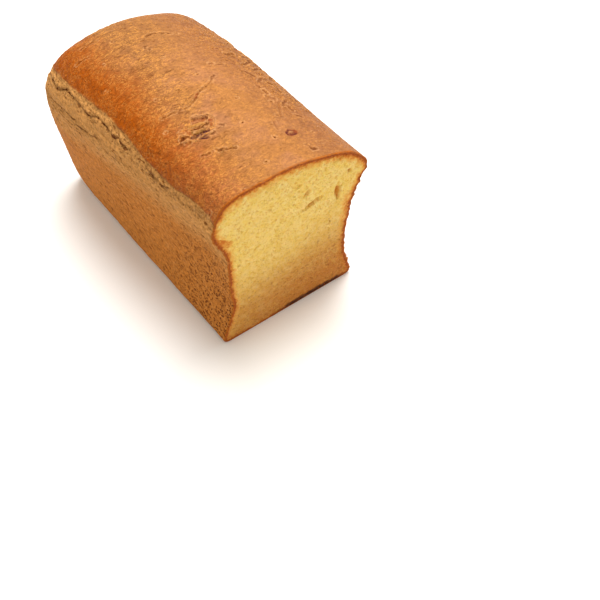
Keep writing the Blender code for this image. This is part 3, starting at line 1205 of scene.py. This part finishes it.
class Wire:
    """An output socket that adds Math nodes when it is used in an expression."""

    def __init__(self, book: "Recipe", socket: bpy.types.NodeSocket) -> None:
        """Wraps a socket of a recipe's node tree."""
        self.book = book
        self.socket = socket

    def _math(self, operation: str, *values: "Wire | float") -> "Wire":
        """Adds one Math node for these values."""
        return self.book.node("ShaderNodeMath", {"operation": operation}, dict(enumerate(values)))

    def __add__(self, other: "Wire | float") -> "Wire":
        """The sum."""
        return self._math("ADD", self, other)

    def __radd__(self, other: float) -> "Wire":
        """The sum, with a number on the left."""
        return self._math("ADD", other, self)

    def __sub__(self, other: "Wire | float") -> "Wire":
        """The difference."""
        return self._math("SUBTRACT", self, other)

    def __rsub__(self, other: float) -> "Wire":
        """The difference, from a number on the left."""
        return self._math("SUBTRACT", other, self)

    def __mul__(self, other: "Wire | float") -> "Wire":
        """The product."""
        return self._math("MULTIPLY", self, other)

    def __rmul__(self, other: float) -> "Wire":
        """The product, with a number on the left."""
        return self._math("MULTIPLY", other, self)

    def clamped(self) -> "Wire":
        """The value held between 0 and 1."""
        return self.book.node("ShaderNodeClamp", {}, {"Value": self})

    def between(self, low: float, high: float) -> "Wire":
        """Rises smoothly from 0 at low to 1 at high."""
        settings = {"interpolation_type": "SMOOTHSTEP"}
        values = {"Value": self, "From Min": low, "From Max": high}
        return self.book.node("ShaderNodeMapRange", settings, values)

    def size(self) -> "Wire":
        """The value without its sign."""
        return self._math("ABSOLUTE", self)

    def at_most(self, other: "Wire | float") -> "Wire":
        """The smaller of two values."""
        return self._math("MINIMUM", self, other)

    def at_least(self, other: "Wire | float") -> "Wire":
        """The larger of two values."""
        return self._math("MAXIMUM", self, other)


class Recipe:
    """A material's node tree, built from plain calls."""

    def __init__(self, name: str) -> None:
        """Starts a material with an empty Principled shader."""
        self.material = bpy.data.materials.new(name)
        self.material.use_nodes = True
        self.tree = self.material.node_tree
        self.shader = self.tree.nodes["Principled BSDF"]

    def node(self, kind: str, settings: dict, values: dict, output: int | str = 0) -> Wire:
        """Adds a node.

        Args:
            kind: the node's type.
            settings: its properties, set first. "stops" holds a ramp's colours.
            values: its inputs by name or place: numbers, colours or wires.
            output: which output the wire comes from.

        Returns:
            A wire from that output.
        """
        node = self.tree.nodes.new(kind)
        for name, setting in settings.items():
            if name == "stops":
                self._fill_ramp(node.color_ramp, setting)
            else:
                setattr(node, name, setting)
        for name, value in values.items():
            self.feed(node, name, value)
        return Wire(self, node.outputs[output])

    @staticmethod
    def _fill_ramp(ramp: bpy.types.ColorRamp, stops: tuple[tuple[float, Colour], ...]) -> None:
        """Sets a ramp's stops, each a place and a colour."""
        while len(ramp.elements) < len(stops):
            ramp.elements.new(1.0)
        for element, (place, colour) in zip(ramp.elements, stops):
            element.position = place
            element.color = (*colour, 1.0)

    def feed(self, node: bpy.types.Node, name: int | str, value: object) -> None:
        """Gives a node's input a wire or a value."""
        socket = node.inputs[name]
        if isinstance(value, Wire):
            self.tree.links.new(value.socket, socket)
        elif socket.type == "RGBA":
            socket.default_value = (*value, 1.0)
        else:
            socket.default_value = value

    def finish(self, values: dict[str, object]) -> bpy.types.Material:
        """Feeds the shader and hands the material over.

        Args:
            values: the shader's inputs by name.

        Returns:
            The material.
        """
        for name, value in values.items():
            self.feed(self.shader, name, value)
        return self.material

    def mask(self, name: str) -> Wire:
        """The number that a piece stores under this name."""
        return self.node("ShaderNodeAttribute", {"attribute_name": name}, {}, "Fac")

    def place(self, stretch: tuple[float, float, float] = (1, 1, 1), slope: float = 0.0) -> Wire:
        """Object coordinates in millimetres.

        Args:
            stretch: how far a pattern on them is drawn out each way.
            slope: how far it then turns down towards the cut, in radians.

        Returns:
            The coordinates.
        """
        coordinates = self.node("ShaderNodeTexCoord", {}, {}, "Object")
        values = {
            "Vector": coordinates,
            "Scale": tuple(MM * factor for factor in stretch),
            "Rotation": (slope, 0.0, 0.0),
        }
        return self.node("ShaderNodeMapping", {"vector_type": "TEXTURE"}, values)

    def noise(
        self, place: Wire, size: float, detail: float = 2.0, rough: float = 0.5, curl: float = 0.0
    ) -> Wire:
        """Noise about 0.5.

        Args:
            place: the coordinates.
            size: the size of its features, in millimetres.
            detail: how many finer layers it has.
            rough: how strong they are.
            curl: how far it is distorted.

        Returns:
            The noise.
        """
        values = {
            "Vector": place,
            "Scale": 1 / size,
            "Detail": detail,
            "Roughness": rough,
            "Distortion": curl,
        }
        return self.node("ShaderNodeTexNoise", {}, values, "Fac")

    def mixed(self, share: Wire | float, first: Colour | Wire, second: Colour | Wire) -> Wire:
        """A colour between two colours."""
        settings = {"data_type": "RGBA", "blend_type": "MIX"}
        values = {0: share, 6: first, 7: second}
        return self.node("ShaderNodeMix", settings, values, 2)

    def scaled(self, colour: Wire, factor: Wire) -> Wire:
        """A colour made lighter or darker by a factor."""
        return self.node(
            "ShaderNodeVectorMath", {"operation": "SCALE"}, {0: colour, "Scale": factor}
        )

    def bump(self, height: Wire, strength: float, distance: float) -> Wire:
        """A normal bent by a height, over a distance in millimetres."""
        values = {"Height": height, "Strength": strength, "Distance": distance * MM}
        return self.node("ShaderNodeBump", {}, values)


def tint(red: int, green: int, blue: int) -> Colour:
    """A colour given as display values from 0 to 255, as the shader wants it."""

    def linear(value: int) -> float:
        """One channel."""
        share = value / 255
        return share / 12.92 if share <= 0.04045 else ((share + 0.055) / 1.055) ** 2.4

    return linear(red), linear(green), linear(blue)


@dataclass(frozen=True)
class CrustFinish:
    """Baked crust: orange-brown dome, torn tan band, brown sides.

    Attributes:
        dome: the dome's colour.
        gold: its yellower patches.
        rose: its pinker right side.
        baked: its back and left, browner and darkened as painted shade.
        lip: its edge at the cut.
        shoulder: the deep band above the dome's edge.
        tan: the stretched band of the sides.
        side: the lower sides.
        bottom: the underside.
        thread: the light threads of skin on the dome.
        dash_and_shade: the dark dashes between them, painted shade in the skin's hollows.
        fibre: the light strands of the torn band.
        gully: the dark dashes between those.
        scorch: painted shade in cracks, creases, pits and pinholes, in a dark red-brown.
        burnt: the hollow of the blister.
        ember: raw red-brown skin.
        golden: a flake that came out light from the oven.
        pale: lifted flakes.
        khaki: skin that has lost its glaze.
        roughness: the dome's roughness.
        side_roughness: the sides' roughness.
        sheen: how strongly the crust mirrors light.
    """

    dome: Colour = tint(164, 109, 68)
    gold: Colour = tint(163, 107, 56)
    rose: Colour = tint(147, 94, 55)
    baked: Colour = tint(152, 100, 55)
    lip: Colour = tint(176, 92, 16)
    shoulder: Colour = tint(157, 75, 2)
    tan: Colour = tint(202, 144, 80)
    side: Colour = tint(188, 118, 49)
    bottom: Colour = tint(120, 66, 28)
    thread: Colour = tint(214, 146, 68)
    dash_and_shade: Colour = tint(118, 62, 16)
    fibre: Colour = tint(222, 166, 98)
    gully: Colour = tint(128, 74, 24)
    scorch: Colour = tint(98, 44, 10)
    burnt: Colour = tint(72, 28, 34)
    ember: Colour = tint(136, 62, 26)
    golden: Colour = tint(180, 124, 58)
    pale: Colour = tint(196, 142, 92)
    khaki: Colour = tint(142, 98, 44)
    roughness: float = 0.6
    side_roughness: float = 0.8
    sheen: float = 0.08

    def material(self) -> bpy.types.Material:
        """Builds the material.

        Returns:
            The material, which reads the crust's masks.
        """
        book = Recipe("baked_crust")
        place = book.place()
        above, shred, coarse = book.mask("above"), book.mask("shred"), book.mask("coarse")
        grit = book.noise(place, 1.9, 3, 0.7)
        dome = (above + 3.0 * (book.noise(place, 2.2, 3, 0.6) - 0.5)).between(-0.35, 0.35)
        skin, skin_relief = self._skin(book, place, coarse)
        flank, flank_relief = self._flank(book, place, above, shred)
        colour = book.mixed(dome, flank, skin)
        colour = book.scaled(colour, 0.50 + 1.0 * grit)

        # flakes, bare patches and the blister's hollow, with edges finer than the mesh
        fray = 1.6 * (book.noise(place, 1.3, 3, 0.65) - 0.5)
        flecks = book.noise(place, 1.6, 2, 0.6).between(0.40, 0.56)
        for name, tone in (
            (Tone.KHAKI, self.khaki),
            (Tone.EMBER, self.ember),
            (Tone.GOLDEN, self.golden),
            (Tone.BURNT, self.burnt),
            (Tone.PALE, self.pale),
        ):
            share = (book.mask(name.value) * 1.4 + fray).between(0.35, 0.75) * book.mask(name.value)
            share = share * (0.55 + 0.6 * flecks).clamped()
            colour = book.mixed(share, colour, tone)

        # dark lines and holes, painted as shade in cracks, creases, seams, pits and pinholes
        wander = 2.0 * (book.noise(place, 1.5, 3, 0.65) - 0.5)
        broken = book.noise(place, 1.9, 2).between(0.40, 0.56)
        gaping = book.noise(place, 3.4, 2).between(0.50, 0.62)
        crack = ((book.mask("crack_gap") + 1.3 * wander).size() - 0.8 * gaping).between(0.62, 0.15)
        crack = (crack * book.mask("crack_open") * (0.15 + broken)).clamped()
        seam = (book.mask("line_gap") + 0.6 * wander).between(0.70, 0.15) * (0.40 + 0.5 * broken)
        from_crease = book.mask("crease_gap") + 0.7 * wander
        crease = from_crease.between(0.30, -0.30) * book.mask("crease_dark") * (0.45 + 0.65 * broken)
        fringe = (from_crease - 0.85).size().between(0.55, 0.1) * book.mask("crease_dark")
        colour = book.mixed((fringe * (1.1 * flecks) * 0.7).clamped(), colour, self.pale)
        dots = book.node(
            "ShaderNodeTexVoronoi", {"feature": "F1"}, {"Vector": place, "Scale": 0.52, "Randomness": 1.0}
        )
        dots = (dots + 0.5 * (grit - 0.5)).between(0.38, 0.23) * book.mask("crowd")
        dark = crack.at_least(crease).at_least(book.mask("scorch")).at_least(dots)
        dark = dark.at_least(seam * (1 - dome))
        colour = book.mixed(dark, colour, self.scorch)
        colour = book.mixed(book.mask("lip") * (0.45 + 0.4 * broken), colour, self.lip)

        relief = skin_relief * dome + flank_relief * (1 - dome) + 0.45 * grit
        relief = relief - 0.6 * dark
        rough = self.side_roughness + (self.roughness - self.side_roughness) * dome + 0.3 * (grit - 0.5)
        return book.finish(
            {
                "Base Color": colour,
                "Roughness": rough,
                "Specular IOR Level": self.sheen,
                "Normal": book.bump(relief, 1.0, 1.0),
            }
        )

    def _skin(self, book: Recipe, place: Wire, coarse: Wire) -> tuple[Wire, Wire]:
        """The dome's skin: curled light threads and dark dashes across the loaf.

        Args:
            book: the material's recipe.
            place: the coordinates.
            coarse: how rough the skin is.

        Returns:
            Its colour and its relief in millimetres.
        """
        across = book.place((1.8, 0.8, 0.8))
        weave = book.noise(across, 2.0, 2, 0.6, 1.4)
        counter = book.noise(across, 2.3, 2, 0.6, 0.9)
        patches = book.noise(place, 6.5, 2)
        threads = (weave - 0.5).size().between(0.06, 0.012) * patches.between(0.36, 0.54)
        dashes = counter.between(0.40, 0.32) * patches.between(0.60, 0.46)
        skin = book.mixed(book.noise(place, 19, 3).between(0.4, 0.62), self.dome, self.gold)
        # The back and left of the dome are browner and darkened with painted shade.
        skin = book.mixed(book.mask("baked"), skin, self.baked)
        skin = book.mixed(book.mask("rosy"), skin, self.rose)
        skin = book.mixed(book.mask("shoulder"), skin, self.shoulder)
        # The skin darkens where the counter pattern sinks, and the dark dashes lie in those hollows: painted shade
        # of the skin's fine relief.
        skin = book.scaled(skin, 1 + (counter - 0.5) * (0.2 + 0.6 * coarse))
        glazed = 1 - 0.45 * book.mask("shoulder")
        strength = ((0.17 + 0.50 * coarse) * glazed).at_least(0.85 * book.mask("frayed"))
        skin = book.mixed(threads * strength, skin, self.thread)
        skin = book.mixed(dashes * strength, skin, self.dash_and_shade)
        folds = book.noise(book.place((1.2, 0.8, 0.8)), 3.6, 2, 0.6, 1.3) - 0.5
        wrinkled = book.mask("wrinkled") * book.noise(place, 5, 2).between(0.36, 0.52)
        skin = book.mixed((folds - 0.05).size().between(0.035, 0.01) * wrinkled * 0.6, skin, self.thread)
        skin = book.mixed(folds.size().between(0.034, 0.010) * wrinkled, skin, self.dash_and_shade)
        relief = (0.9 * weave + 0.7 * counter) * (0.30 + coarse)
        return skin, relief

    def _flank(self, book: Recipe, place: Wire, above: Wire, shred: Wire) -> tuple[Wire, Wire]:
        """The sides: long torn strands, tan above and brown below.

        Args:
            book: the material's recipe.
            place: the coordinates.
            above: the height above the dome's edge.
            shred: how torn the side is.

        Returns:
            Its colour and its relief in millimetres.
        """
        drawn = (1.0, 2.8, 0.9)
        level = book.noise(book.place(drawn), 1.9, 3, 0.7, 0.5)
        slanted = book.noise(book.place(drawn, 0.30), 1.9, 3, 0.7, 0.5)
        near_edge = above.between(-16, -6)
        strands = level * near_edge + slanted * (1 - near_edge)
        flank = book.mixed((shred * 1.4 - 0.8 * (strands - 0.3)).clamped(), self.side, self.tan)
        torn = above.between(-11, -4)
        crumbs = book.noise(place, 2.0, 3, 0.7)
        patches = book.noise(place, 9, 2).between(0.36, 0.56)
        flank = book.scaled(flank, 1 - 0.10 * torn + (0.9 + 1.0 * torn) * (crumbs - 0.5))
        flank = book.mixed(strands.between(0.54, 0.66) * (0.25 + 0.35 * shred), flank, self.fibre)
        flank = book.mixed(strands.between(0.44, 0.36) * (0.40 + 0.60 * patches), flank, self.gully)
        flank = book.mixed((torn * crumbs.between(0.42, 0.35)) * 0.6, flank, self.gully)
        flank = book.mixed(book.mask("bottom"), flank, self.bottom)
        relief = 1.4 * strands * (0.5 + shred) + 0.9 * crumbs * (0.4 + torn)
        return flank, relief


@dataclass(frozen=True)
class CrumbFinish:
    """Soft yellow crumb with a brown rim.

    Attributes:
        crumb: the crumb's colour.
        butter: its yellower clouds.
        cream: its lightest grains.
        speck_and_pore_shade: the colour of its darker specks, and painted shade in its pores.
        toast_and_shade: the browner crumb low down, partly its own colour and partly painted shade.
        burn: its darkest specks.
        golden: the crumb just inside the rim.
        orange: the inner part of the rim.
        brown: the rim's outer edge.
        foot_shade_tone: the darkest stretch of the lower edge, painted contact shadow where the loaf meets the
            floor.
        roughness: its roughness.
    """

    crumb: Colour = tint(246, 215, 128)
    butter: Colour = tint(246, 212, 108)
    cream: Colour = tint(252, 228, 156)
    speck_and_pore_shade: Colour = tint(212, 156, 60)
    toast_and_shade: Colour = tint(187, 113, 43)
    burn: Colour = tint(130, 64, 14)
    golden: Colour = tint(232, 172, 76)
    orange: Colour = tint(208, 118, 34)
    brown: Colour = tint(160, 76, 10)
    foot_shade_tone: Colour = tint(72, 34, 12)
    roughness: float = 0.85

    def material(self) -> bpy.types.Material:
        """Builds the material.

        Returns:
            The material, which reads the crumb's masks.
        """
        book = Recipe("soft_crumb")
        place = book.place()
        grit = book.noise(place, 1.5, 3, 0.7)
        clouds = book.noise(place, 5, 3, 0.6)
        # The browner low right: partly the crumb's own colour, partly painted shade.
        toast_and_shade = (book.mask("toast_and_shade") + 0.5 * (clouds - 0.5) + 1.1 * (grit - 0.5)).clamped()
        colour = book.mixed(clouds.between(0.40, 0.60), self.crumb, self.butter)
        colour = book.mixed(toast_and_shade, colour, self.toast_and_shade)
        colour = book.mixed(grit.between(0.52, 0.66) * (0.5 - 0.4 * toast_and_shade), colour, self.cream)
        colour = book.mixed(grit.between(0.48, 0.34) * (0.75 - 0.6 * toast_and_shade), colour, self.speck_and_pore_shade)
        # Pores darken with their depth, and deep holes turn orange: painted shade.
        dark = (book.mask("deep") * 0.40).clamped()
        colour = book.mixed(dark, colour, self.speck_and_pore_shade)
        colour = book.mixed(book.mask("deep").between(0.8, 2.0) * 0.45, colour, self.orange)
        specks = book.noise(place, 1.9, 3, 0.65).between(0.53, 0.66)
        colour = book.mixed(specks * (0.10 + 0.42 * toast_and_shade), colour, self.burn)
        fray = 1.6 * (book.noise(place, 1.3, 3, 0.65) - 0.5)
        rim = book.mask("rim") + fray
        colour = book.mixed(rim.between(3.4, 1.4) * (1 - toast_and_shade), colour, self.golden)
        curls = book.noise(place, 1.9, 2, 0.6).between(0.42, 0.58) * book.mask("edge").between(0.8, 1.5)
        orange = rim.between(2.1, 0.9) * (1 - 0.6 * toast_and_shade) * (1 - 0.75 * curls)
        colour = book.mixed(orange, colour, self.orange)
        colour = book.mixed((book.mask("edge") + fray).between(1.1, 0.5), colour, self.brown)
        # Painted contact shadow along the lower edge of the cut, over the brown rim.
        foot_shade = (book.mask("foot_shade") + 0.9 * (clouds - 0.5)).clamped() * rim.between(1.9, 0.9)
        colour = book.mixed(foot_shade, colour, self.foot_shade_tone)
        fine = 0.7 * grit + 0.4 * book.noise(place, 0.8, 3, 0.6)
        return book.finish(
            {
                "Base Color": colour,
                "Roughness": self.roughness,
                "Specular IOR Level": 0.25,
                "Subsurface Weight": 0.2,
                "Subsurface Radius": (1.0, 0.5, 0.2),
                "Subsurface Scale": 1.2 * MM,
                "Normal": book.bump(fine, 1.0, 1.0),
            }
        )


# ---------------------------------------------------------------- studio


@dataclass(frozen=True)
class SoftBox:
    """A large lamp.

    Attributes:
        name: its name.
        toward: the direction from the loaf to the lamp.
        distance: how far it stands from the loaf, in metres.
        size: its width, in metres.
        power: its power, in watts.
        colour: its colour.
    """

    name: str
    toward: Colour
    distance: float
    size: float
    power: float
    colour: Colour = (1.0, 1.0, 1.0)


@dataclass(frozen=True)
class Studio:
    """The floor, the lamps and the camera.

    Attributes:
        foot: where the middle of the cut's lower edge stands, in metres.
        azimuth: the camera's turn round the loaf, in degrees.
        elevation: its height above the horizon, in degrees.
        distance: how far it stands from the foot, in metres.
        aside: how far it is moved across and up its own view, in metres.
        lens: its focal length, in millimetres.
    """

    foot: Vector
    azimuth: float = -39.47
    elevation: float = 57.15
    distance: float = 0.4557
    aside: Pair = (0.0055, 0.0033)
    lens: float = 42.0
    sensor: float = 36.0
    floor_size: float = 8.0
    floor_tone: float = 0.92
    sky: float = 0.72
    sky_colour: Colour = (1.0, 0.92, 0.80)
    lamps: tuple[SoftBox, ...] = (
        SoftBox("key", (0.25, 0.17, 1.0), 1.1, 0.62, 15.0, (1.0, 1.0, 1.0)),
    )

    def build(self) -> None:
        """Puts the floor, the lamps and the camera in the scene."""
        self.floor()
        self.light()
        self.camera()
        bpy.context.scene.view_settings.view_transform = "Standard"

    def floor(self) -> None:
        """Lays a plain pale floor under the loaf."""
        bpy.ops.object.select_all(action="DESELECT")
        bpy.ops.mesh.primitive_plane_add(size=self.floor_size, location=(0, 0, -0.0001))
        floor = bpy.context.object
        floor.name = "floor"
        book = Recipe("pale_floor")
        tone = (self.floor_tone, self.floor_tone, self.floor_tone)
        floor.data.materials.append(book.finish({"Base Color": tone, "Roughness": 0.9}))

    def light(self) -> None:
        """Hangs the lamps and lights the room."""
        middle = self.foot + Vector((0, 0.06, 0.06))
        for lamp in self.lamps:
            light = bpy.data.lights.new(lamp.name, "AREA")
            light.shape = "DISK"
            light.size = lamp.size
            light.energy = lamp.power
            light.color = lamp.colour
            holder = bpy.data.objects.new(lamp.name, light)
            bpy.context.scene.collection.objects.link(holder)
            toward = Vector(lamp.toward).normalized()
            holder.location = middle + toward * lamp.distance
            holder.rotation_euler = toward.to_track_quat("Z", "Y").to_euler()
        world = bpy.data.worlds.new("room")
        bpy.context.scene.world = world
        world.use_nodes = True
        background = world.node_tree.nodes["Background"]
        background.inputs["Color"].default_value = (*self.sky_colour, 1.0)
        background.inputs["Strength"].default_value = self.sky

    def camera(self) -> None:
        """Sets the camera where it looks down on the cut and the left side."""
        turn, rise = math.radians(self.azimuth), math.radians(self.elevation)
        back = Vector((math.sin(turn) * math.cos(rise), -math.cos(turn) * math.cos(rise), math.sin(rise)))
        right = Vector((math.cos(turn), math.sin(turn), 0))
        up = back.cross(right)
        lens = bpy.data.cameras.new("camera")
        lens.lens = self.lens
        lens.sensor_width = self.sensor
        lens.clip_start = 0.01
        camera = bpy.data.objects.new("camera", lens)
        bpy.context.scene.collection.objects.link(camera)
        pose = Matrix((right, up, back)).transposed().to_4x4()
        pose.translation = self.foot + back * self.distance + right * self.aside[0] + up * self.aside[1]
        camera.matrix_world = pose
        bpy.context.scene.camera = camera


# ---------------------------------------------------------------- assembly


def place_of(form: LoafForm) -> Vector:
    """How far the loaf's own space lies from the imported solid's, in metres.

    Args:
        form: the smooth loaf.

    Returns:
        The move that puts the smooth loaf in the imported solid's box.
    """
    smooth = form.cage("measure")
    smoothed(smooth, 2)
    low = Vector(points_of(smooth).min(axis=0)) * MM
    bpy.data.objects.remove(smooth)
    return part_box(NODE)[0] - low


def settle(piece: bpy.types.Object, move: Vector, finish: bpy.types.Material) -> None:
    """Args:
        piece: the piece, in the loaf's own space.
        move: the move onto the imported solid, in metres.
        finish: the piece's material.
    """
    piece.data.transform(Matrix.Translation(move))
    piece.data.materials.clear()
    piece.data.materials.append(finish)
    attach(piece, BODY)
    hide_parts(NODE)
    log.info("%s: %d faces", piece.name, len(piece.data.polygons))


def main() -> None:
    """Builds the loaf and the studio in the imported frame."""
    logging.basicConfig(level=logging.INFO, format="%(message)s")
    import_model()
    form = LoafForm()
    grain = Grain()
    move = place_of(form)
    log.info("moved by %.2f, %.2f, %.2f mm", *(move / MM))
    crust = Crust(form, grain)
    settle(crust.build(), move, CrustFinish().material())
    crumb = Crumb(form, grain, crust.outline)
    settle(crumb.build(), move, CrumbFinish().material())
    Studio(foot=move).build()


if __name__ == "__main__":
    main()
